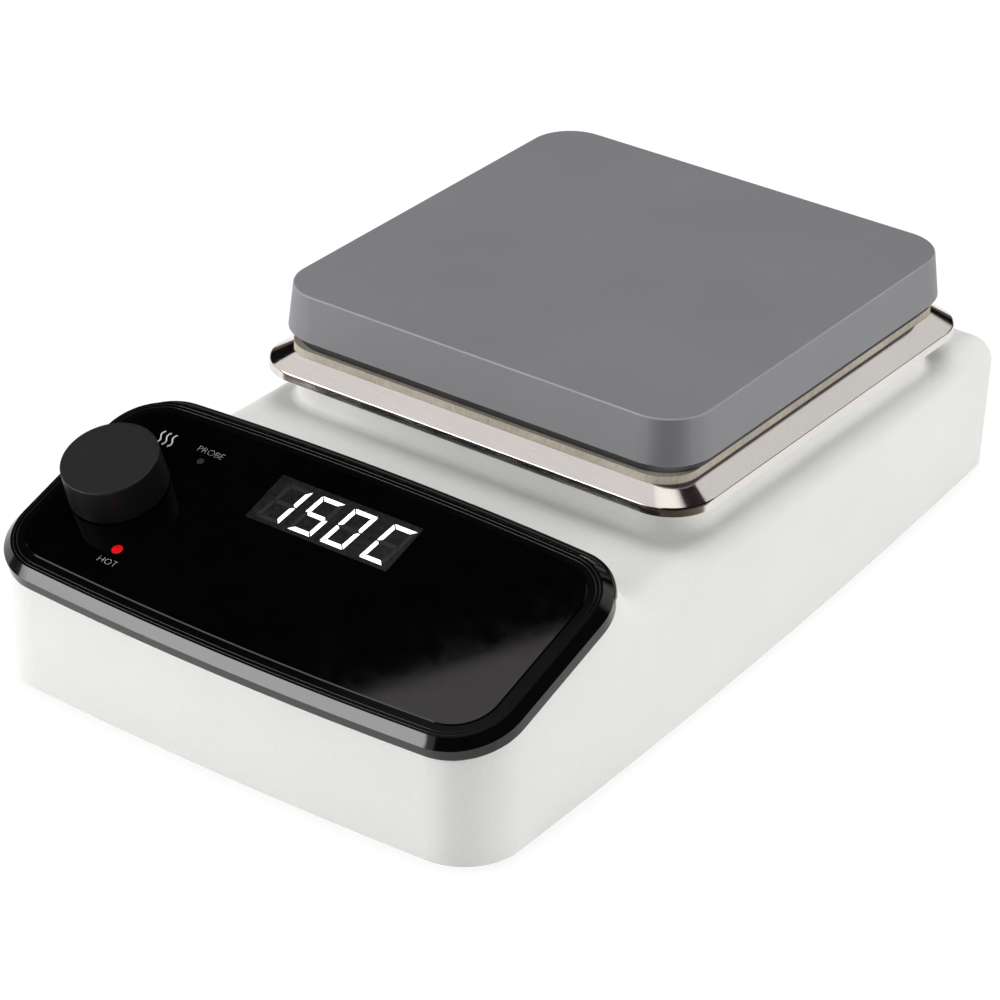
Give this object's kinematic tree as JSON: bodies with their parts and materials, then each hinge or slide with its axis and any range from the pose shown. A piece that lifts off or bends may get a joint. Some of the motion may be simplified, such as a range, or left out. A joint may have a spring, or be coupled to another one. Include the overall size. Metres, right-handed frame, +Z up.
{
  "type": "laboratory hot plate",
  "caption": "Laboratory hot plate: square grey heating plate over a steel drip tray on a white housing, with a leaning black glass console, a round control knob and rear sockets.",
  "frame": {"origin": "on the table, under the middle of the footprint", "axes": "+Z up, +Y to the rear of the instrument, +X to the right when seen from the console"},
  "size_m": [0.1906, 0.3112, 0.0916],
  "materials": {
    "white_enamel": "satin powder coat",
    "coated_plate": "fine matt heat-resistant coating on cast aluminium",
    "polished_steel": "polished stainless sheet",
    "zinc_steel": "zinc plated",
    "stainless": "plain",
    "rubber_black": "matt",
    "mica": "pressed mica sheet",
    "ceramic_fibre": "needled fibre felt",
    "gloss_black": "high gloss",
    "black_glass": "back-printed black",
    "matt_black": "fine satin",
    "lamp_red": "clear red",
    "lamp_clear": "smoked clear",
    "display_grey": "matt face",
    "circuit_green": "solder mask on glass-fibre board",
    "brass_plain": "nickelled",
    "aluminium_plain": "extruded",
    "white_plastic": "moulded",
    "grey_plastic": "moulded",
    "blue_plastic": "moulded",
    "core_steel": "varnished laminations",
    "fuse_glass": "clear"
  },
  "bodies": {
    "housing": {"base_plate": "zinc_steel", "base_screws": "zinc_steel", "bezel": "gloss_black", "bezel_screws": "zinc_steel", "board_posts": "brass_plain", "clamp_screws": "zinc_steel", "control_board": "circuit_green", "control_board_screws": "zinc_steel", "display_module": "display_grey", "drip_tray": "polished_steel", "enclosure": "white_enamel", "encoder_body": "grey_plastic", "encoder_nut": "brass_plain", "encoder_washer": "zinc_steel", "foot_screws": "zinc_steel", "front_glass": "black_glass", "fuse": "fuse_glass", "fuse_clips": "brass_plain", "heat_shield": "zinc_steel", "heat_sink": "aluminium_plain", "heater_clamp": "zinc_steel", "heater_element": "mica", "heating_plate": "coated_plate", "hot_lamp": "lamp_red", "inlet_nuts": "zinc_steel", "inlet_pins": "brass_plain", "inlet_screws": "zinc_steel", "insulation_pad": "ceramic_fibre", "mains_inlet": "matt_black", "panel_plate": "grey_plastic", "plate_bolts": "zinc_steel", "plate_pillars": "stainless", "plate_sensor": "stainless", "power_board": "circuit_green", "power_board_posts": "brass_plain", "power_board_screws": "zinc_steel", "power_switch": "matt_black", "probe_lamp": "lamp_clear", "probe_socket": "matt_black", "probe_socket_nut": "brass_plain", "relay": "blue_plastic", "rubber_feet": "rubber_black", "shield_spacers": "stainless", "terminal_block": "white_plastic", "thermal_cutout": "aluminium_plain", "transformer": "core_steel", "triac": "grey_plastic"},
    "knob": {"control_knob": "matt_black", "encoder_shaft": "aluminium_plain"},
    "rocker": {"switch_rocker": "gloss_black"}
  },
  "joints": [
    {"name": "knob_turn", "type": "hinge", "parent": "housing", "child": "knob", "pos_m": [-0.0708, -0.11325, 0.05144], "axis": [0, -0.3112, 0.9504], "continuous": true},
    {"name": "power_rocker", "type": "hinge", "parent": "housing", "child": "rocker", "pos_m": [0.012, 0.149, 0.026], "axis": [1, 0, 0], "range_deg": [-18, 0]}
  ]
}
